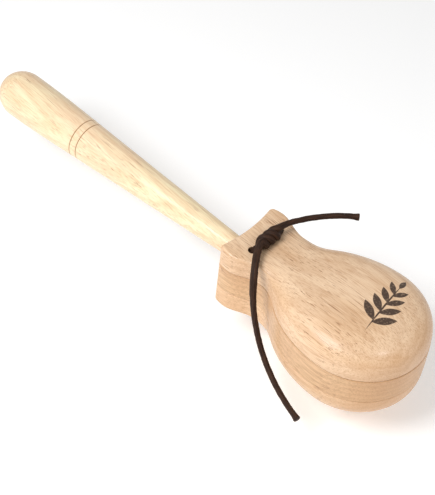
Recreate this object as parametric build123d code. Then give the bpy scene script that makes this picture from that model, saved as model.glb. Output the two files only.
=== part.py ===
from build123d import *
import os
from math import acos, cos, degrees, pi, sin, sqrt

# A pair of wooden castanets on a turned handle, in millimetres.
# A flat paddle is sandwiched between two hollowed shells, and one leather cord ties the three together.
# Origin: on the handle's axis, level with the corners of the ears. +X runs to the round tip of the bowls
# and +Z is square to the striking faces. Apart from the cord it is symmetric about XZ and about XY.

# Plan outline shared by the paddle and the shells
EAR_CORNER_HALF = 17.4       # half-width at the square end of the ears
EAR_CREST_X = 6.5            # where the ears are widest
EAR_CREST_HALF = 18.6
WAIST_X = 22.3               # where the outline is narrowest
WAIST_HALF = 14.1
BOWL_X = 68.5                # centre of the round bowl
BOWL_RADIUS = 30.8
BOWL_REAR = 44.0             # rear semi-axis: behind its centre the bowl is half an ellipse
JOIN_X = 36.0                # where the waist runs into the bowl's ellipse
EAR_END_HOLLOW = 2.0         # depth of the hollow across the end of the ears
CORNER_RADIUS = 2.2

# Heights
PADDLE_THICKNESS = 13.8
EAR_HEIGHT = 10.9            # thickness of a shell at its ears
DOME_HEIGHT = 17.0           # and at the centre of its bowl
EDGE_RADIUS = 0.5            # softened edges along the seams
EAR_EDGE_RADIUS = 1.4        # rounder edges around the top of the ears

# Cross-section of a shell: a superellipse arch, boxy at the ears and rounder at the bowl
EAR_POWER = 6.0
BOWL_POWER = 3.1
ARCH_FLARE = 0.0333          # how fast the arch outgrows the outline behind the bowl, per mm squared
SHELL_INSET = 0.15           # the bowls stop this far inside the paddle's edge
EAR_FLAT_X = 8.0             # the top of the ears is level up to here
ARCH_POINTS = 12             # spans along each half of an arch
SECTION_STEP = 4.0           # spacing of the arches
SECTION_SKIRT = 1.0          # the arches run on this far below the seam before they are trimmed
TRIM_HALF = 60.0             # half-width of the trimming block beyond the waist

# Hollow in each striking face
CUP_X = 66.0
CUP_RADIUS = 21.0
CUP_DEPTH = 10.0

# Leather cord and the two holes it is laced through
CORD_RADIUS = 1.7
CORD_HOLE_RADIUS = 2.1
CORD_HOLE_X = 12.2
CORD_HOLE_Y = 9.2
CORD_GAP = 0.1               # kept between the cord and the wood, and between lengths of cord
CORD_SLACK = 2.1             # the crossing under the ears hangs this far below them
KNOT_X = 13.4
KNOT_Y = -1.0
KNOT_SEMI_AXES = (3.6, 7.0, 3.3)
LONG_TAIL_POINTS = [         # over the edge of the ears, down to the level of the lower bowl and along it
    (16.6, -12.2, 21.4),
    (21.2, -18.7, 18.6),
    (25.6, -22.6, 5.0),
    (35.6, -26.2, -13.0),
    (51.0, -33.0, -21.2),
    (69.8, -39.5, -22.1),
]
SHORT_TAIL_POINTS = [        # out over the other side in the air
    (15.6, 9.0, 22.4),
    (16.9, 16.4, 21.8),
    (22.6, 25.9, 22.0),
    (34.3, 38.0, 22.0),
]

# Turned handle
HANDLE_END_X = 1.75          # shoulder that butts against the paddle
HANDLE_END_RADIUS = 5.05
GRIP_X = -112.0
GRIP_RADIUS = 10.7
BUTT_X = -147.0
BUTT_RADIUS = 11.8
BUTT_TIP_X = -160.0
GROOVE_XS = (-103.8, -99.7)
GROOVE_DEPTH = 0.35
GROOVE_HALF_WIDTH = 0.45
TENON_RADIUS = 3.8
TENON_LENGTH = 18.0
GLUE_GAP = 0.03

SEAM_Z = PADDLE_THICKNESS / 2
EAR_TOP_Z = SEAM_Z + EAR_HEIGHT
DOME_TOP_Z = SEAM_Z + DOME_HEIGHT
BOWL_TIP_X = BOWL_X + BOWL_RADIUS
JOIN_T = (BOWL_X - JOIN_X) / BOWL_REAR
JOIN_HALF = BOWL_RADIUS * sqrt(1 - JOIN_T**2)
JOIN_SLOPE = BOWL_RADIUS * JOIN_T / (BOWL_REAR * sqrt(1 - JOIN_T**2))
JOIN_ANGLE = degrees(acos(-JOIN_T))


def smooth_step(t):
    """Ease from 0 to 1 with level ends."""
    t = min(max(t, 0.0), 1.0)
    return t * t * (3 - 2 * t)


def waist_edge(side):
    """Outline from the ear's corner, over its crest and through the waist, up to the bowl."""
    points = [
        (0, side * EAR_CORNER_HALF),
        (EAR_CREST_X, side * EAR_CREST_HALF),
        (WAIST_X, side * WAIST_HALF),
        (JOIN_X, side * JOIN_HALF),
    ]
    tangents = [(3, side), (1, 0), (1, 0), (1, side * JOIN_SLOPE)]
    return Edge.make_spline(points, tangents=[Vector(*t) for t in tangents])


def ear_end_edge():
    """Shallow hollow across the end of the ears."""
    return Edge.make_three_point_arc(
        (0, -EAR_CORNER_HALF), (EAR_END_HOLLOW, 0), (0, EAR_CORNER_HALF)
    )


def plan_face(bowl_edges):
    """Close the ears and waist with the given edges, and round the corners of the ears."""
    wire = Wire([ear_end_edge(), waist_edge(1), waist_edge(-1), *bowl_edges])
    face = Face(wire)
    corners = face.vertices().sort_by(Axis.X)[:2]
    return face.fillet_2d(CORNER_RADIUS, corners)


def paddle_face():
    """The whole outline: half an ellipse behind the bowl's centre and half a circle in front."""
    centre = Plane((BOWL_X, 0, 0))
    left = Edge.make_ellipse(BOWL_REAR, BOWL_RADIUS, centre, 90, JOIN_ANGLE)
    right = Edge.make_ellipse(BOWL_REAR, BOWL_RADIUS, centre, 360 - JOIN_ANGLE, 270)
    front = Edge.make_three_point_arc(
        (BOWL_X, BOWL_RADIUS), (BOWL_TIP_X, 0), (BOWL_X, -BOWL_RADIUS)
    )
    return plan_face([left, right, front])


def trim_face():
    """The ears and waist only: past the waist it opens out wider than the bowl."""
    far_x = BOWL_TIP_X + BOWL_RADIUS
    points = [
        (JOIN_X, JOIN_HALF),
        (BOWL_X, TRIM_HALF),
        (far_x, TRIM_HALF),
        (far_x, -TRIM_HALF),
        (BOWL_X, -TRIM_HALF),
        (JOIN_X, -JOIN_HALF),
    ]
    return plan_face(polyline(points))


def arch_half_width(x):
    """Half-width of a shell's arch at the seam. Behind the bowl it outgrows the outline."""
    if x < JOIN_X:
        back = JOIN_X - x
        half = JOIN_HALF - JOIN_SLOPE * back + ARCH_FLARE * back**2
    else:
        half = BOWL_RADIUS * sqrt(1 - ((BOWL_X - x) / BOWL_REAR) ** 2)
    return half - SHELL_INSET


def arch_height(x):
    """Height of a shell over the seam along its centre line."""
    rise = smooth_step((x - EAR_FLAT_X) / (BOWL_X - EAR_FLAT_X))
    return EAR_HEIGHT + (DOME_HEIGHT - EAR_HEIGHT) * rise


def arch_power(x):
    """Power of the superellipse: boxy at the ears, round at the bowl."""
    return EAR_POWER + (BOWL_POWER - EAR_POWER) * smooth_step((x - EAR_FLAT_X) / (JOIN_X - EAR_FLAT_X))


def half_arch(x, side):
    """Superellipse from the foot of the arch on one side up to its crown."""
    half = arch_half_width(x)
    height = arch_height(x)
    power = arch_power(x)
    points = []
    for i in range(ARCH_POINTS + 1):
        turn = pi / 2 * i / ARCH_POINTS
        reach = (cos(turn) ** power + sin(turn) ** power) ** (-1 / power)
        points.append((x, side * half * reach * cos(turn), SEAM_Z + height * reach * sin(turn)))
    return Edge.make_spline(
        points,
        tangents=[(0, 0, 1), (0, -side, 0)],
        parameters=[i / ARCH_POINTS for i in range(ARCH_POINTS + 1)],
    )


def polyline(points):
    """Straight edges through the points."""
    return [Edge.make_line(a, b) for a, b in zip(points, points[1:])]


def arch_wire(x):
    """Closed section of a shell's block, square to X."""
    half = arch_half_width(x)
    low = SEAM_Z - SECTION_SKIRT
    skirt = polyline([(x, -half, SEAM_Z), (x, -half, low), (x, half, low), (x, half, SEAM_Z)])
    return Wire([half_arch(x, 1), half_arch(x, -1), *skirt])


def shell_rear_block():
    """Ears, waist and rear half of the bowl, lofted through arches and cut square at the bowl's centre."""
    count = round((BOWL_X + SECTION_STEP) / SECTION_STEP)
    step = (BOWL_X + SECTION_STEP) / count
    wires = [arch_wire(-SECTION_STEP + i * step) for i in range(count + 1)]
    beyond = arch_wire(BOWL_X - step).moved(Location((2 * step, 0, 0)))
    block = Solid.make_loft([*wires, beyond])
    return block.split(Plane((BOWL_X, 0, 0), z_dir=(-1, 0, 0)), keep=Keep.TOP)


def shell_front_block():
    """Round front half of the bowl: half a turn of the arch at the bowl's centre."""
    low = SEAM_Z - SECTION_SKIRT
    foot = (BOWL_X, arch_half_width(BOWL_X), SEAM_Z)
    sides = polyline([(BOWL_X, 0, DOME_TOP_Z), (BOWL_X, 0, low), (BOWL_X, foot[1], low), foot])
    profile = Face(Wire([half_arch(BOWL_X, 1), *sides]))
    return revolve(profile, Axis((BOWL_X, 0, 0), (0, 0, 1)), -180)


def cord_bores(radius):
    """Round bars along the two cord holes, longer than the whole object is tall."""
    reach = 2 * DOME_TOP_Z
    places = [Plane((CORD_HOLE_X, side * CORD_HOLE_Y, -reach)) for side in (-1, 1)]
    return [Solid.make_cylinder(radius, 2 * reach, place) for place in places]


def cup():
    """Ellipsoid that hollows the striking face."""
    flat = CUP_DEPTH / CUP_RADIUS
    return scale(Solid.make_sphere(CUP_RADIUS), by=(1, 1, flat)).moved(Location((CUP_X, 0, SEAM_Z)))


def upper_shell():
    """Domed shell that lies with its striking face on the seam."""
    block = shell_rear_block() + shell_front_block()
    trim = extrude(trim_face().moved(Location((0, 0, SEAM_Z))), 2 * DOME_HEIGHT, dir=(0, 0, 1))
    body = block & trim
    ear_edges = body.edges().filter_by(
        lambda edge: edge.center().X < EAR_CREST_X
        and edge.bounding_box().min.Z > EAR_TOP_Z - EAR_EDGE_RADIUS
    )
    body = fillet(ear_edges, EAR_EDGE_RADIUS)
    seam_edges = body.edges().filter_by(lambda edge: edge.bounding_box().max.Z < SEAM_Z + SHELL_INSET)
    body = fillet(seam_edges, EDGE_RADIUS)
    body = body - cup()
    for bore in cord_bores(CORD_HOLE_RADIUS):
        body = body - bore
    return body


def tenon_bar(gap):
    """Round tenon on the handle's end, or, with a gap, the hole it is glued into."""
    length = TENON_LENGTH + gap
    return Solid.make_cylinder(TENON_RADIUS + gap, length, Plane((HANDLE_END_X, 0, 0), z_dir=(1, 0, 0)))


def paddle():
    """Flat board between the shells, with the handle's hole in its end."""
    face = paddle_face()
    body = extrude(face.moved(Location((0, 0, -SEAM_Z))), PADDLE_THICKNESS, dir=(0, 0, 1))
    rims = body.edges().filter_by(lambda edge: edge.bounding_box().size.Z < EDGE_RADIUS)
    body = fillet(rims, EDGE_RADIUS)
    body = body - tenon_bar(GLUE_GAP)
    for bore in cord_bores(CORD_HOLE_RADIUS):
        body = body - bore
    return body


def grip_radius(x):
    """Radius of the handle's straight taper."""
    t = (HANDLE_END_X - x) / (HANDLE_END_X - GRIP_X)
    return HANDLE_END_RADIUS + (GRIP_RADIUS - HANDLE_END_RADIUS) * t


def groove(x):
    """Ring with a V section that cuts a fine line round the handle."""
    radius = grip_radius(x)
    corners = [
        (x - GROOVE_HALF_WIDTH, 0, radius + GROOVE_DEPTH / 2),
        (x, 0, radius - GROOVE_DEPTH),
        (x + GROOVE_HALF_WIDTH, 0, radius + GROOVE_DEPTH / 2),
    ]
    face = Face(Wire(polyline([*corners, corners[0]])))
    return revolve(face, Axis.X, 360)


def handle():
    """Straight taper, a slightly fuller grip and a round butt, with a tenon on the thin end."""
    end = (HANDLE_END_X, 0, HANDLE_END_RADIUS)
    grip = (GRIP_X, 0, GRIP_RADIUS)
    butt = (BUTT_X, 0, BUTT_RADIUS)
    tip = (BUTT_TIP_X, 0, 0)
    taper = Edge.make_line(end, grip)
    taper_direction = (GRIP_X - HANDLE_END_X, 0, GRIP_RADIUS - HANDLE_END_RADIUS)
    swell = Edge.make_spline([grip, butt], tangents=[taper_direction, (-1, 0, 0)])
    dome = Edge.make_ellipse(
        BUTT_X - BUTT_TIP_X, BUTT_RADIUS, Plane((BUTT_X, 0, 0), x_dir=(-1, 0, 0), z_dir=(0, 1, 0)), 0, 90
    )
    axis_line = polyline([tip, (HANDLE_END_X, 0, 0), end])
    body = revolve(Face(Wire([taper, swell, dome, *axis_line])), Axis.X, 360)
    for x in GROOVE_XS:
        body = body - groove(x)
    return body + tenon_bar(0)


def cord_legs(low, high):
    """The two straight lengths of cord inside a pair of holes, between two heights."""
    places = [Plane((CORD_HOLE_X, side * CORD_HOLE_Y, low)) for side in (-1, 1)]
    return [Solid.make_cylinder(CORD_RADIUS, high - low, place) for place in places]


def cord_crossing(z):
    """Length of cord that crosses the ears from hole to hole, with rounded turns."""
    start = (CORD_HOLE_X, -CORD_HOLE_Y, z)
    bar = Solid.make_cylinder(CORD_RADIUS, 2 * CORD_HOLE_Y, Plane(start, z_dir=(0, 1, 0)))
    for side in (-1, 1):
        bar = bar + Solid.make_sphere(CORD_RADIUS, Plane((CORD_HOLE_X, side * CORD_HOLE_Y, z)))
    return bar


def cord_knot():
    """Knot on top of the ears, with the cord that leads to it from both holes."""
    crossing_z = EAR_TOP_Z + CORD_GAP + CORD_RADIUS
    knot_z = EAR_TOP_Z + 2 * CORD_GAP + KNOT_SEMI_AXES[2]
    body = cord_crossing(crossing_z)
    for leg in cord_legs(SEAM_Z + CORD_GAP / 2, crossing_z):
        body = body + leg
    ball = scale(Solid.make_sphere(1), by=KNOT_SEMI_AXES).moved(Location((KNOT_X, KNOT_Y, knot_z)))
    return body + ball


def cord_tail(points):
    """Loose end of the cord, cut square."""
    path = Edge.make_spline(points)
    section = Face(Wire.make_circle(CORD_RADIUS, Plane(path @ 0, z_dir=path % 0)))
    return sweep(section, path=path)


def cord_middle():
    """The two lengths of cord inside the paddle."""
    legs = cord_legs(-SEAM_Z + CORD_GAP / 2, SEAM_Z - CORD_GAP / 2)
    return Compound(legs)


def cord_underside():
    """The cord's slack crossing under the ears and its two lengths in the lower shell."""
    crossing_z = -(EAR_TOP_Z + CORD_SLACK + CORD_RADIUS)
    body = cord_crossing(crossing_z)
    for leg in cord_legs(crossing_z, -SEAM_Z - CORD_GAP / 2):
        body = body + leg
    return body


def main():
    shell = upper_shell()
    nodes = {
        "handle": handle(),
        "paddle": paddle(),
        "upper_shell": shell,
        "lower_shell": shell.mirror(Plane.XY),
        "cord_knot": cord_knot(),
        "cord_tail_long": cord_tail(LONG_TAIL_POINTS),
        "cord_tail_short": cord_tail(SHORT_TAIL_POINTS),
        "cord_middle": cord_middle(),
        "cord_underside": cord_underside(),
    }
    os.makedirs("parts", exist_ok=True)
    for name, shape in nodes.items():
        export_step(shape, f"parts/{name}.step")


main()
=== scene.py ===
"""Looks of a pair of handle castanets: lacquered wood, a laced leather cord and a plain pale studio."""

from math import cos, pi, radians, sin

import bmesh
import bpy
import numpy as np
from mathutils import Matrix, Vector, noise


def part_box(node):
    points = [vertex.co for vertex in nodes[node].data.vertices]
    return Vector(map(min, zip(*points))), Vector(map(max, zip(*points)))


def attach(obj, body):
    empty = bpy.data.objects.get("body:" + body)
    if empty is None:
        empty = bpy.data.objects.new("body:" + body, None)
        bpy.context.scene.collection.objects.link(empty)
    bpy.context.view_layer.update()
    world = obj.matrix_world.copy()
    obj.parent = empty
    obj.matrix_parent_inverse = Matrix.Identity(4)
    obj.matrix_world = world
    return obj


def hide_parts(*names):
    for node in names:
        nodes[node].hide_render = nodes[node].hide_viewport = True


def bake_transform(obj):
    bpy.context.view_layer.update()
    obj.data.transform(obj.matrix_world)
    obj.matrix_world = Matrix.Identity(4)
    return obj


MM = 0.001

# Camera and studio, in millimetres and degrees
CAMERA_YAW = 37.65
CAMERA_ELEVATION = 46.89
CAMERA_ROLL = 6.56
CAMERA_DISTANCE = 644.0
CAMERA_TARGET = (-11.05, -4.45, -2.2)
CAMERA_LENS = 101.8
CAMERA_SENSOR = 36.0
CAMERA_CLIP = 10.0           # nothing nearer than this is drawn
FLOOR_DROP = 15.0            # the floor stays clear of the lower shell when it is wide open
FLOOR_SIZE = 6000.0
FLOOR_SHADE = 0.97
FLOOR_ROUGHNESS = 0.9
FLOOR_SHINE = 0.1
FLOOR_GLOW = 0.2
WORLD_STRENGTH = 0.41
LIGHT_TARGET = (30, 0, 0)
LIGHTS = (                   # name, place, diameter and power in watts
    ("key", (-130, -470, 560), 380, 4.0),
    ("gleam", (385, -35, 425), 100, 0.34),
    ("fill", (420, 170, 126), 200, 0.11),
)

# Cord, in millimetres
EAR_TOP = 17.8               # height of the ears over the handle's axis
CORD_SIDES = 24
CORD_STEP = 0.35
SPLINE_SAMPLES = 24          # samples in each span of a spline before it is spaced evenly
CORD_WOBBLE = 0.08           # strength of the slow wandering of its radius, as a share
WOBBLE_COARSE = 0.35         # the slow and the quick wandering, in features per millimetre
WOBBLE_FINE = 1.1
WOBBLE_FINE_SHARE = 0.5      # strength of the quick wandering against the slow one
CORD_THINNING = 0.2          # the loose ends are stretched thinner by this share
END_FLARE = 0.22             # a cut end spreads by this share
END_FLARE_LENGTH = 3.0
KNOT_X = 14.1                # the two lengths twist about each other along a line across the ears
KNOT_Y = -1.3
KNOT_HALF_LENGTH = 5.5
KNOT_COIL = 1.78             # distance of each length from that line
KNOT_TURN = 540.0            # three crossings make a half knot
KNOT_STEPS = 12
LEG_SPLIT = 10.0             # height at which the legs in the holes pass from one piece to the next
LEG_SPANS = 3
HOLE_RISE = (                # forward, inward and up from the rim of a hole, as the cord leaves it
    (0.0, 0.0, -4.0),
    (0.4, 0.4, -1.0),
    (1.0, 1.2, 1.2),
)
LOOP_BENDS = ((0.0, 3.6), (0.3, 0.9))  # inward and up from the loop's level, below each hole
LOOP_LEVEL = 3.0             # the loop is level from this far inside each hole
LOOP_SWAYS = (0.5, 0.6, 0.2)
LOOP_LIFTS = (0.0, 0.2, 0.0)
LONG_TAIL_THINNING = (50.0, 66.0)      # lengths along the cord between which it gets thinner
LONG_TAIL = [
    (15.0, -8.4, 22.6),
    (16.2, -11.0, 21.2),
    (18.0, -14.0, 20.7),
    (21.2, -18.4, 19.4),
    (24.7, -22.4, 13.2),
    (27.3, -24.3, 5.8),
    (30.8, -25.2, -4.4),
    (37.0, -27.0, -14.4),
    (43.6, -29.4, -18.9),
    (51.0, -32.6, -21.2),
    (60.2, -36.3, -22.0),
    (69.8, -39.5, -22.0),
]
SHORT_TAIL_THINNING = (29.0, 38.0)
SHORT_TAIL = [
    (14.6, 9.4, 23.0),
    (15.4, 12.8, 22.4),
    (18.5, 20.2, 21.9),
    (22.6, 25.9, 22.1),
    (27.9, 32.6, 22.3),
    (34.3, 38.0, 22.0),
]

# Turned grooves and the burnt-in sprig, in millimetres and degrees
GROOVE_XS = (-103.8, -99.7)
GROOVE_HALF_WIDTH = 0.3
GROOVE_SCORCH = 0.5
GROOVE_COLOUR = (140, 98, 60)
SPRIG_CENTRE = (75.5, 3.0)
SPRIG_TURN = 98.0
SPRIG_HALF_LENGTH = 16.5
SPRIG_STEM_HALF_WIDTH = 0.42
SPRIG_TIP = (3.2, 1.2)       # half-length and half-width of the leaf on the stem's end
SPRIG_EDGE = (1.12, 0.94)    # a shape fades in between these, where 1 is its outline
SPRIG_LOWEST = 15.0          # burnt above this height only, which takes in the roof of the hollow too
SPRIG_PAIRS = 4
SPRIG_COLOUR = (62, 42, 30)
LEAF_START = 0.62            # the leaves start this far behind the stem's middle, as a share of its half
LEAF_RUN = 1.45              # and are spread over this much of it
LEAF_HALF_LENGTH = 5.6
LEAF_SHRINK = 0.55           # from each pair to the next
LEAF_SLENDERNESS = 0.34
LEAF_SPREAD = 48             # between a leaf and the stem
LEAF_CLOSING = 4             # from each pair to the next
LEAF_STAGGER = 0.7

# Noise, in features per millimetre along each axis. The wood's grain lies along X, the cord's length along Z.
WANDER_SCALE = (0.022, 0.06, 0.06)
FLICKER_SCALE = (0.06, 0.35, 0.35)
FIBRE_SCALE = (0.09, 1.9, 1.9)
FINE_FIBRE_SCALE = (0.3, 6.5, 6.5)
PORE_SCALE = (0.075, 2.5, 2.5)
CLOUD_SCALE = (0.025, 0.07, 0.07)
SCORCH_SCALE = (1.1, 1.1, 1.1)
WRINKLE_SCALE = (1.6, 1.6, 0.22)
GRAIN_SCALE = (4.5, 4.5, 3.0)
SCUFF_SCALE = (0.8, 0.8, 0.16)

# Ranges for stretch(): two inputs, then the outputs that they give where those aren't 0 and 1.
# Where the first input is the larger, the output falls as the input rises.
LATE_WOOD_RANGE = (0.25, 0.85)
RING_EDGE_RANGE = (1.0, 0.9)
CLOUD_RANGE = (0.3, 0.7)
FIBRE_RANGE = (0.42, 0.72, 0.0, 0.5)
FINE_FIBRE_RANGE = (0.45, 0.7, 0.0, 0.2)
PORE_WANDER_RANGE = (0.38, 0.6, 0.2, 1.0)
PORE_END_GRAIN_RANGE = (0.1, 0.6, 1.0, 0.2)
END_GRAIN_RANGE = (0.2, 0.9, 0.0, 0.4)
# painted shade in enclosed places, from the occlusion amount
CREASE_SHADE_RANGE = (0.75, 0.2, 0.0, 0.75)
WOOD_ROUGHNESS_RANGE = (0.3, 0.75, 0.42, 0.56)
SCORCH_RANGE = (0.25, 0.5, 0.75, 0.97)
WRINKLE_RANGE = (0.35, 0.68)
SCUFF_RANGE = (0.58, 0.74, 0.0, 0.35)
LEATHER_ROUGHNESS_RANGE = (0.3, 0.7, 0.5, 0.72)

# Wood and leather, with lengths in millimetres
WANDER_RINGS = 3.2           # how many ring widths the slow noise moves a ring
FLICKER_RINGS = 0.8          # and the quicker noise
PORE_SOFTNESS = 0.13
PORE_STRENGTH = 0.8
PORE_COLOUR = (138, 84, 44)
END_GRAIN_COLOUR = (208, 150, 92)
# Painted shade: the colour that seams, grooves and hollows are darkened towards, how far round the enclosure
# is sought, and its samples
CREASE_SHADE_COLOUR = (92, 62, 38)
CREASE_SHADE_REACH = 1.2
CREASE_SHADE_SAMPLES = 6
WOOD_BUMP = 0.22
WOOD_BUMP_HEIGHT = 0.08
WOOD_BUMP_FIBRES = 0.4
WOOD_SHINE = 0.45
LACQUER = 0.4
LACQUER_ROUGHNESS = 0.2
LEATHER_DARK = (38, 23, 16)
LEATHER_PALE = (68, 44, 30)
SCUFF_COLOUR = (98, 70, 52)
LEATHER_BUMP = 0.6
LEATHER_BUMP_HEIGHT = 0.25
LEATHER_BUMP_GRAIN = 0.5
LEATHER_SHINE = 0.2


# ---------------------------------------------------------------- node helpers

def new_material(name):
    """Empty node material with a Principled shader wired to the output."""
    material = bpy.data.materials.new(name)
    material.use_nodes = True
    tree = material.node_tree
    tree.nodes.clear()
    output = tree.nodes.new("ShaderNodeOutputMaterial")
    shader = tree.nodes.new("ShaderNodeBsdfPrincipled")
    tree.links.new(shader.outputs["BSDF"], output.inputs["Surface"])
    return material, tree, shader


def put(tree, socket, value):
    """Link the value if it is a socket, else set it."""
    if isinstance(value, bpy.types.NodeSocket):
        tree.links.new(value, socket)
    else:
        socket.default_value = value


def math_node(tree, operation, *values):
    """Output of a Math node."""
    node = tree.nodes.new("ShaderNodeMath")
    node.operation = operation
    for socket, value in zip(node.inputs, values):
        put(tree, socket, value)
    return node.outputs[0]


def mapping(tree, vector, kind="POINT", location=(0, 0, 0), rotation=(0, 0, 0), scale=(1, 1, 1)):
    """Output of a Mapping node."""
    node = tree.nodes.new("ShaderNodeMapping")
    node.vector_type = kind
    put(tree, node.inputs["Vector"], vector)
    node.inputs["Location"].default_value = location
    node.inputs["Rotation"].default_value = [radians(angle) for angle in rotation]
    node.inputs["Scale"].default_value = scale
    return node.outputs[0]


def noise_node(tree, place, scale, detail=2.0, roughness=0.5, distortion=0.0):
    """Factor of a noise texture with its own scale along each axis."""
    node = tree.nodes.new("ShaderNodeTexNoise")
    put(tree, node.inputs["Vector"], mapping(tree, place, scale=scale))
    node.inputs["Scale"].default_value = 1.0
    node.inputs["Detail"].default_value = detail
    node.inputs["Roughness"].default_value = roughness
    node.inputs["Distortion"].default_value = distortion
    return node.outputs["Fac"]


def stretch(tree, value, low, high, to_low=0.0, to_high=1.0):
    """Map a value smoothly from one range to another, clamped."""
    node = tree.nodes.new("ShaderNodeMapRange")
    node.interpolation_type = "SMOOTHSTEP"
    for socket, number in zip(node.inputs[:5], (value, low, high, to_low, to_high)):
        put(tree, socket, number)
    return node.outputs[0]


def mix(tree, factor, first, second):
    """Colour mix."""
    node = tree.nodes.new("ShaderNodeMix")
    node.data_type = "RGBA"
    put(tree, node.inputs["Factor"], factor)
    for name, value in (("A", first), ("B", second)):
        socket = next(s for s in node.inputs if s.name == name and s.type == "RGBA")
        put(tree, socket, value)
    return next(s for s in node.outputs if s.type == "RGBA")


def linear(red, green, blue):
    """Linear colour from 0-255 display values."""
    channels = [channel / 255 for channel in (red, green, blue)]
    return [((c + 0.055) / 1.055) ** 2.4 if c > 0.04045 else c / 12.92 for c in channels] + [1.0]


def bump(tree, height, strength, distance):
    """Normal from a height."""
    node = tree.nodes.new("ShaderNodeBump")
    node.inputs["Strength"].default_value = strength
    node.inputs["Distance"].default_value = distance
    put(tree, node.inputs["Height"], height)
    return node.outputs["Normal"]


def separate(tree, vector):
    """X, Y and Z of a vector, by name."""
    node = tree.nodes.new("ShaderNodeSeparateXYZ")
    put(tree, node.inputs[0], vector)
    return node.outputs


def object_coordinates(tree):
    """Position in the row frame, in millimetres."""
    coordinates = tree.nodes.new("ShaderNodeTexCoord").outputs["Object"]
    return mapping(tree, coordinates, scale=(1 / MM,) * 3)


# ---------------------------------------------------------------- wood

def late_wood(tree, turned, wander, ring_width, figure):
    """Darker side of each growth ring. The rings wander along the grain."""
    flicker = noise_node(tree, turned, FLICKER_SCALE)
    length = tree.nodes.new("ShaderNodeVectorMath")
    length.operation = "LENGTH"
    put(tree, length.inputs[0], mapping(tree, turned, scale=(0, 1, 1)))
    phase = math_node(tree, "DIVIDE", length.outputs["Value"], ring_width)
    for waver, rings in ((wander, WANDER_RINGS), (flicker, FLICKER_RINGS)):
        phase = math_node(tree, "ADD", phase, math_node(tree, "MULTIPLY", waver, rings * figure))
    ring = math_node(tree, "FRACT", phase)
    darkening = stretch(tree, ring, *LATE_WOOD_RANGE)
    return math_node(tree, "MULTIPLY", darkening, stretch(tree, ring, *RING_EDGE_RANGE))


def wood_pores(tree, turned, wander, end_grain, share):
    """Fine dark pores, gathered in bands and rarer on end grain. A larger share means fewer of them."""
    pores = noise_node(tree, turned, PORE_SCALE, detail=1, distortion=0.3)
    bands = stretch(tree, wander, *PORE_WANDER_RANGE)
    zone = math_node(tree, "MULTIPLY", bands, stretch(tree, end_grain, *PORE_END_GRAIN_RANGE))
    return math_node(tree, "MULTIPLY", stretch(tree, pores, share, share + PORE_SOFTNESS), zone)


def painted_crease_shade(tree):
    """Amount of painted shade, from how enclosed the surface is: seams, grooves and hollows are darkened in
    the colour.
    """
    occlusion = tree.nodes.new("ShaderNodeAmbientOcclusion")
    occlusion.samples = CREASE_SHADE_SAMPLES
    occlusion.inputs["Distance"].default_value = CREASE_SHADE_REACH * MM
    return stretch(tree, occlusion.outputs["AO"], *CREASE_SHADE_RANGE)


def wood(name, pale, tan, dark, pith, ring_width, tilt=(0, 0, 0), figure=1.0, vein=0.2, pore_share=0.6):
    """Lacquered wood, its grain along X: growth rings round a distant pith, fibres and fine dark pores."""
    material, tree, shader = new_material(name)
    place = object_coordinates(tree)
    turned = mapping(tree, place, location=(0, *pith), rotation=tilt)
    normal = tree.nodes.new("ShaderNodeTexCoord").outputs["Normal"]
    end_grain = math_node(tree, "ABSOLUTE", separate(tree, normal)["X"])
    wander = noise_node(tree, turned, WANDER_SCALE, detail=3)
    veins = math_node(tree, "MULTIPLY", late_wood(tree, turned, wander, ring_width, figure), vein)
    pores = wood_pores(tree, turned, wander, end_grain, pore_share)
    fibres = noise_node(tree, turned, FIBRE_SCALE, detail=3, roughness=0.6)
    fine_fibres = noise_node(tree, turned, FINE_FIBRE_SCALE)
    cloud = noise_node(tree, place, CLOUD_SCALE)

    colour = mix(tree, stretch(tree, cloud, *CLOUD_RANGE), pale, tan)
    colour = mix(tree, veins, colour, dark)
    colour = mix(tree, stretch(tree, fibres, *FIBRE_RANGE), colour, dark)
    colour = mix(tree, stretch(tree, fine_fibres, *FINE_FIBRE_RANGE), colour, dark)
    colour = mix(tree, math_node(tree, "MULTIPLY", pores, PORE_STRENGTH), colour, linear(*PORE_COLOUR))
    colour = mix(tree, stretch(tree, end_grain, *END_GRAIN_RANGE), colour, linear(*END_GRAIN_COLOUR))
    # painted shade: seams, grooves and hollows darkened in the colour
    colour = mix(tree, painted_crease_shade(tree), colour, linear(*CREASE_SHADE_COLOUR))

    height = math_node(tree, "SUBTRACT", math_node(tree, "MULTIPLY", fine_fibres, WOOD_BUMP_FIBRES), pores)
    put(tree, shader.inputs["Normal"], bump(tree, height, WOOD_BUMP, WOOD_BUMP_HEIGHT * MM))
    put(tree, shader.inputs["Roughness"], stretch(tree, fibres, *WOOD_ROUGHNESS_RANGE))
    shader.inputs["Specular IOR Level"].default_value = WOOD_SHINE
    shader.inputs["Coat Weight"].default_value = LACQUER
    shader.inputs["Coat Roughness"].default_value = LACQUER_ROUGHNESS
    return material, tree, shader, colour, place


def leaf_distance(tree, local, middle, turn, half_length, half_width):
    """Below 1 inside a pointed leaf shape that lies along a direction."""
    size = (half_length, half_width, 1)
    scaled = mapping(tree, local, "TEXTURE", location=(*middle, 0), rotation=(0, 0, turn), scale=size)
    parts = separate(tree, scaled)
    curve = math_node(tree, "MULTIPLY", parts["X"], parts["X"])
    return math_node(tree, "ADD", curve, math_node(tree, "ABSOLUTE", parts["Y"]))


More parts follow.
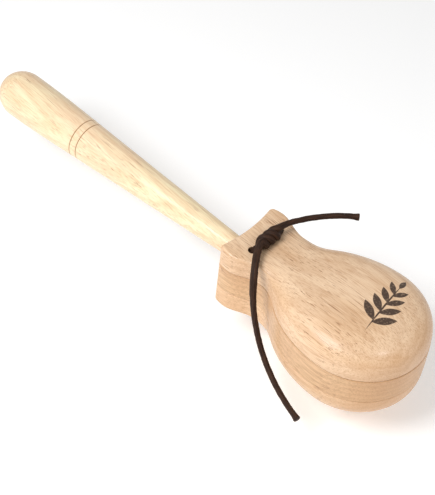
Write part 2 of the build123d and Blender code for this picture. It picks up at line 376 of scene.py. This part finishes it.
def sprig_mask(tree, place):
    """1 inside a stem with paired leaves, drawn in plan on the top of the dome."""
    local = mapping(tree, place, "TEXTURE", location=(*SPRIG_CENTRE, 0), rotation=(0, 0, SPRIG_TURN))
    shapes = [leaf_distance(tree, local, (0, 0), 0, SPRIG_HALF_LENGTH, SPRIG_STEM_HALF_WIDTH)]
    for pair in range(SPRIG_PAIRS):
        along = SPRIG_HALF_LENGTH * (pair / SPRIG_PAIRS * LEAF_RUN - LEAF_START)
        size = LEAF_HALF_LENGTH - LEAF_SHRINK * pair
        for side in (-1, 1):
            spread = side * (LEAF_SPREAD - LEAF_CLOSING * pair)
            middle_x = along + size * cos(radians(spread)) + side * LEAF_STAGGER
            middle = (middle_x, size * sin(radians(spread)))
            shapes.append(leaf_distance(tree, local, middle, spread, size, size * LEAF_SLENDERNESS))
    shapes.append(leaf_distance(tree, local, (SPRIG_HALF_LENGTH, 0), 0, *SPRIG_TIP))
    nearest = shapes[0]
    for shape in shapes[1:]:
        nearest = math_node(tree, "MINIMUM", nearest, shape)
    return stretch(tree, nearest, *SPRIG_EDGE)


def burnt_sprig(tree, place, colour):
    """The colour with the sprig burnt into it, a little patchy."""
    on_top = math_node(tree, "GREATER_THAN", separate(tree, place)["Z"], SPRIG_LOWEST)
    mask = math_node(tree, "MULTIPLY", sprig_mask(tree, place), on_top)
    patchy = stretch(tree, noise_node(tree, place, SCORCH_SCALE), *SCORCH_RANGE)
    return mix(tree, math_node(tree, "MULTIPLY", mask, patchy), colour, linear(*SPRIG_COLOUR))


def shell_wood(name, pale, tan, pith, mark):
    """Wood of a shell. One of the shells carries the burnt-in sprig."""
    material, tree, shader, colour, place = wood(
        name,
        pale=pale,
        tan=tan,
        dark=linear(184, 134, 90),
        pith=pith,
        ring_width=4.2,
        tilt=(0, 2.5, 3.0),
    )
    if mark:
        colour = burnt_sprig(tree, place, colour)
    put(tree, shader.inputs["Base Color"], colour)
    return material


def paddle_wood():
    """Wood of the paddle, a little deeper in colour, with straight growth lines."""
    material, tree, shader, colour, _ = wood(
        "paddle_wood",
        pale=linear(230, 190, 144),
        tan=linear(217, 173, 128),
        dark=linear(164, 118, 80),
        pith=(12, 240),
        ring_width=3.0,
        tilt=(0, 0.6, 1.0),
        figure=0.35,
    )
    put(tree, shader.inputs["Base Color"], colour)
    return material


def handle_wood():
    """Yellower, paler wood with a wavy figure and two fine scorched lines in the turned grooves."""
    material, tree, shader, colour, place = wood(
        "handle_wood",
        pale=linear(255, 240, 200),
        tan=linear(252, 224, 188),
        dark=linear(212, 164, 114),
        pith=(-14, 22),
        ring_width=2.6,
        tilt=(0, -3.0, 4.0),
        figure=0.6,
        vein=0.22,
        pore_share=0.62,
    )
    along = separate(tree, place)["X"]
    for x in GROOVE_XS:
        offset = math_node(tree, "ABSOLUTE", math_node(tree, "SUBTRACT", along, x))
        line = stretch(tree, offset, GROOVE_HALF_WIDTH, GROOVE_HALF_WIDTH / 2, 0.0, GROOVE_SCORCH)
        colour = mix(tree, line, colour, linear(*GROOVE_COLOUR))
    put(tree, shader.inputs["Base Color"], colour)
    return material


# ---------------------------------------------------------------- leather

def leather():
    """Dark brown round leather cord: fine lengthwise wrinkles, scuffs and a dull sheen."""
    material, tree, shader = new_material("cord_leather")
    attribute = tree.nodes.new("ShaderNodeAttribute")
    attribute.attribute_name = "cord_place"
    place = attribute.outputs["Vector"]
    wrinkles = noise_node(tree, place, WRINKLE_SCALE, detail=4, roughness=0.65)
    grain = noise_node(tree, place, GRAIN_SCALE, detail=3, roughness=0.6)
    scuffs = noise_node(tree, place, SCUFF_SCALE, detail=4, roughness=0.7)
    worn = stretch(tree, wrinkles, *WRINKLE_RANGE)
    colour = mix(tree, worn, linear(*LEATHER_DARK), linear(*LEATHER_PALE))
    colour = mix(tree, stretch(tree, scuffs, *SCUFF_RANGE), colour, linear(*SCUFF_COLOUR))
    put(tree, shader.inputs["Base Color"], colour)
    put(tree, shader.inputs["Roughness"], stretch(tree, grain, *LEATHER_ROUGHNESS_RANGE))
    height = math_node(tree, "ADD", wrinkles, math_node(tree, "MULTIPLY", grain, LEATHER_BUMP_GRAIN))
    put(tree, shader.inputs["Normal"], bump(tree, height, LEATHER_BUMP, LEATHER_BUMP_HEIGHT * MM))
    shader.inputs["Specular IOR Level"].default_value = LEATHER_SHINE
    return material


# ---------------------------------------------------------------- cord geometry, in millimetres

def spline_points(points, step):
    """Cubic B-spline from the first point to the last, sampled at even steps, with the lengths so far."""
    control = np.array([points[0]] * 2 + list(points) + [points[-1]] * 2, float)
    t = np.linspace(0, 1, SPLINE_SAMPLES, endpoint=False)[:, None]
    weights = ((1 - t) ** 3, 3 * t**3 - 6 * t**2 + 4, -3 * t**3 + 3 * t**2 + 3 * t + 1, t**3)
    spans = []
    for i in range(len(control) - 3):
        spans.append(sum(weight * point for weight, point in zip(weights, control[i:i + 4])) / 6)
    dense = np.vstack([*spans, control[-1:]])
    gaps = np.linalg.norm(np.diff(dense, axis=0), axis=1)
    reach = np.concatenate([[0], np.cumsum(gaps)])
    count = max(int(round(reach[-1] / step)), 2)
    stops = np.linspace(0, reach[-1], count + 1)
    centres = np.column_stack([np.interp(stops, reach, dense[:, axis]) for axis in range(3)])
    return centres, stops.tolist()


def ease(t):
    """Ease from 0 to 1 with level ends."""
    t = min(max(t, 0.0), 1.0)
    return t * t * (3 - 2 * t)


def loose_end_radius(radius, stop, length, thinning):
    """Radius of a loose end: it thins between two lengths and flares where it is cut."""
    thinned = ease((stop - thinning[0]) / (thinning[1] - thinning[0]))
    flared = ease(1 - (length - stop) / END_FLARE_LENGTH)
    return radius * (1 - CORD_THINNING * thinned) * (1 + END_FLARE * flared)


def wobble(place, seed):
    """Share by which the cord is thicker or thinner at a place on its skin."""
    coarse = noise.noise(place * WOBBLE_COARSE + seed)
    return CORD_WOBBLE * (coarse + WOBBLE_FINE_SHARE * noise.noise(place * WOBBLE_FINE))


def add_vert(mesh, layer, spot, place):
    """Vertex that remembers its place round and along the cord."""
    vert = mesh.verts.new(spot * MM)
    vert[layer] = place
    return vert


def close_end(mesh, layer, ring, centre, stop, first):
    """Square-cut end: a fan of triangles over the first or the last ring."""
    middle = add_vert(mesh, layer, Vector(centre), Vector((0, 0, stop)))
    for j in range(CORD_SIDES):
        pair = (ring[j], ring[(j + 1) % CORD_SIDES])
        mesh.faces.new((*(reversed(pair) if first else pair), middle))


def cord_mesh(points, radius, thinning):
    """Skin of a round, slightly uneven cord along the points."""
    centres, stops = spline_points(points, CORD_STEP)
    tangents = np.gradient(centres, axis=0)
    tangents /= np.linalg.norm(tangents, axis=1)[:, None]
    mesh = bmesh.new()
    layer = mesh.verts.layers.float_vector.new("cord_place")
    side = Vector(tangents[0]).orthogonal().normalized()
    rings = []
    for centre, tangent, stop in zip(centres, tangents, stops):
        tangent = Vector(tangent)
        side = (side - side.dot(tangent) * tangent).normalized()
        up = tangent.cross(side)
        thin = loose_end_radius(radius, stop, stops[-1], thinning) if thinning else radius
        ring = []
        for j in range(CORD_SIDES):
            angle = 2 * pi * j / CORD_SIDES
            place = Vector((radius * cos(angle), radius * sin(angle), stop))
            out = thin * (1 + wobble(place, Vector(points[0])))
            spot = Vector(centre) + out * (cos(angle) * side + sin(angle) * up)
            ring.append(add_vert(mesh, layer, spot, place))
        rings.append(ring)
    for first, second in zip(rings, rings[1:]):
        for j in range(CORD_SIDES):
            k = (j + 1) % CORD_SIDES
            mesh.faces.new((first[j], first[k], second[k], second[j]))
    close_end(mesh, layer, rings[0], centres[0], stops[0], True)
    close_end(mesh, layer, rings[-1], centres[-1], stops[-1], False)
    return mesh


def cord_piece(name, radius, points, material, thinning=None):
    """Length of cord as a piece of its own. A loose end thins between the two given lengths."""
    mesh = cord_mesh(points, radius, thinning)
    data = bpy.data.meshes.new(name)
    mesh.to_mesh(data)
    mesh.free()
    data.shade_smooth()
    data.materials.append(material)
    piece = bpy.data.objects.new(name, data)
    bpy.context.scene.collection.objects.link(piece)
    return piece


def knot_coil(side, axis_height):
    """One length's turns in the knot, from low beside its own hole to high at the other end."""
    # A spline runs inside its control points, so these lie further out than the coil
    coil = KNOT_COIL * 3 / (2 + cos(radians(KNOT_TURN / KNOT_STEPS)))
    points = []
    for i in range(KNOT_STEPS + 1):
        share = i / KNOT_STEPS
        angle = radians(-90 + side * KNOT_TURN * share)
        y = KNOT_Y + side * KNOT_HALF_LENGTH * (1 - 2 * share)
        points.append((KNOT_X + coil * cos(angle), y, axis_height + coil * sin(angle)))
    return points


def loose_end(name, side, tail, thinning, nodes, hole_x, hole_y, radius, material):
    """One length of the knot: it rises from its hole, twists about the other and ends in a tail."""
    points = [(hole_x, side * hole_y, LEG_SPLIT)]
    for forward, inward, up in HOLE_RISE:
        points.append((hole_x + forward, side * (hole_y - inward), EAR_TOP + up))
    points += knot_coil(side, EAR_TOP + radius + KNOT_COIL)
    points += tail
    piece = cord_piece(name, radius, points, material, thinning)
    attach(piece, "upper_clapper")
    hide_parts(*nodes)


def upper_cord(hole_x, hole_y, radius, material):
    """The half knot on the ears, with its two loose ends."""
    hole = (hole_x, hole_y, radius, material)
    long_nodes = ("cord_knot", "cord_tail_long")
    short_nodes = ("cord_knot", "cord_tail_short")
    loose_end("cord_long_end", 1, LONG_TAIL, LONG_TAIL_THINNING, long_nodes, *hole)
    loose_end("cord_short_end", -1, SHORT_TAIL, SHORT_TAIL_THINNING, short_nodes, *hole)


def lower_cord(hole_x, hole_y, loop_bottom, radius, material):
    """The slack loop under the ears, from one hole to the other."""
    low = loop_bottom + radius
    bends = [(hole_x, hole_y - inward, low + up) for inward, up in LOOP_BENDS]
    near = [(hole_x, hole_y, -LEG_SPLIT), *bends]
    far = [(x, -y, z) for x, y, z in reversed(near)]
    crossing = []
    for y, sway, lift in zip((hole_y - LOOP_LEVEL, 0, LOOP_LEVEL - hole_y), LOOP_SWAYS, LOOP_LIFTS):
        crossing.append((hole_x + sway, y, low + lift))
    piece = cord_piece("cord_loop", radius, [*near, *crossing, *far], material)
    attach(piece, "lower_clapper")
    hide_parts("cord_underside")


def seam_legs(hole_x, hole_y, radius, material):
    """The cord inside the holes where it crosses the two seams."""
    for body, name, end in (("upper_clapper", "upper", LEG_SPLIT), ("lower_clapper", "lower", -LEG_SPLIT)):
        for side, side_name in ((-1, "right"), (1, "left")):
            y = side * hole_y
            points = [(hole_x, y, i * end / LEG_SPANS) for i in range(LEG_SPANS + 1)]
            piece = cord_piece(f"cord_leg_{name}_{side_name}", radius, points, material)
            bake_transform(piece)
            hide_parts("cord_middle")


# ---------------------------------------------------------------- studio

def pale_floor(height):
    """Plain floor at a height in metres. It glows a little, so it stays pale in the shadow."""
    half = FLOOR_SIZE / 2 * MM
    corners = [(x * half, y * half, height) for x, y in ((-1, -1), (1, -1), (1, 1), (-1, 1))]
    floor_mesh = bpy.data.meshes.new("floor")
    floor_mesh.from_pydata(corners, [], [(0, 1, 2, 3)])
    floor = bpy.data.objects.new("floor", floor_mesh)
    bpy.context.scene.collection.objects.link(floor)
    material, _, shader = new_material("floor_pale")
    shader.inputs["Base Color"].default_value = (FLOOR_SHADE, FLOOR_SHADE, FLOOR_SHADE, 1)
    shader.inputs["Roughness"].default_value = FLOOR_ROUGHNESS
    shader.inputs["Specular IOR Level"].default_value = FLOOR_SHINE
    shader.inputs["Emission Color"].default_value = (1, 1, 1, 1)
    shader.inputs["Emission Strength"].default_value = FLOOR_GLOW
    floor_mesh.materials.append(material)


def white_world():
    """Even white light from all around."""
    world = bpy.data.worlds.new("studio")
    world.use_nodes = True
    background = world.node_tree.nodes["Background"]
    background.inputs["Color"].default_value = (1, 1, 1, 1)
    background.inputs["Strength"].default_value = WORLD_STRENGTH
    bpy.context.scene.world = world


def soft_lights():
    """Round area lights aimed at the castanets."""
    for name, place, size, power in LIGHTS:
        data = bpy.data.lights.new(name, "AREA")
        data.shape = "DISK"
        data.size = size * MM
        data.energy = power
        light = bpy.data.objects.new(name, data)
        light.location = Vector(place) * MM
        light.rotation_mode = "QUATERNION"
        aim = Vector(LIGHT_TARGET) * MM - light.location
        light.rotation_quaternion = aim.to_track_quat("-Z", "Y")
        bpy.context.scene.collection.objects.link(light)


def camera():
    """Camera above the side with the long loose end, with a slight roll."""
    data = bpy.data.cameras.new("camera")
    data.lens = CAMERA_LENS
    data.sensor_width = CAMERA_SENSOR
    data.clip_start = CAMERA_CLIP * MM
    turn = (
        Matrix.Rotation(radians(CAMERA_YAW), 3, "Z")
        @ Matrix.Rotation(radians(90 - CAMERA_ELEVATION), 3, "X")
        @ Matrix.Rotation(radians(CAMERA_ROLL), 3, "Z")
    )
    eye = bpy.data.objects.new("camera", data)
    eye.rotation_mode = "QUATERNION"
    eye.rotation_quaternion = turn.to_quaternion()
    eye.location = (Vector(CAMERA_TARGET) + CAMERA_DISTANCE * turn.col[2]) * MM
    bpy.context.scene.collection.objects.link(eye)
    bpy.context.scene.camera = eye


# ---------------------------------------------------------------- assembly

def dress(node, material):
    """Give a CAD node its material."""
    data = node.data
    if not data.materials:
        data.materials.append(material)
    for i in range(len(data.materials)):
        data.materials[i] = material


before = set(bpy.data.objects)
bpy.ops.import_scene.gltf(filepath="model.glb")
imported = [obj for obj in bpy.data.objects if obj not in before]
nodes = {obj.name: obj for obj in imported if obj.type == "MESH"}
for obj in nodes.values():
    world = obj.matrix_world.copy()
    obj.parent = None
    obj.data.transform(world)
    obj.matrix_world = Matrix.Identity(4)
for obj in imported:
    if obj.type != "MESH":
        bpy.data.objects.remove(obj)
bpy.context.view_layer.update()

upper_wood = shell_wood(
    "upper_shell_wood",
    pale=linear(244, 212, 177),
    tan=linear(234, 197, 158),
    pith=(26, -118),
    mark=True,
)
lower_wood = shell_wood(
    "lower_shell_wood",
    pale=linear(238, 200, 158),
    tan=linear(228, 186, 143),
    pith=(-30, 125),
    mark=False,
)
dress(nodes["upper_shell"], upper_wood)
dress(nodes["lower_shell"], lower_wood)
dress(nodes["paddle"], paddle_wood())
dress(nodes["handle"], handle_wood())

leg_low, leg_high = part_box("cord_middle")
shell_low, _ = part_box("lower_shell")
loop_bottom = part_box("cord_underside")[0].z / MM
cord_radius = (leg_high.x - leg_low.x) / 2 / MM
hole_x = (leg_high.x + leg_low.x) / 2 / MM
hole_y = leg_high.y / MM - cord_radius

cord_material = leather()
upper_cord(hole_x, hole_y, cord_radius, cord_material)
lower_cord(hole_x, hole_y, loop_bottom, cord_radius, cord_material)
seam_legs(hole_x, hole_y, cord_radius, cord_material)

pale_floor(shell_low.z - FLOOR_DROP * MM)
white_world()
soft_lights()
camera()
bpy.context.scene.view_settings.view_transform = "Standard"
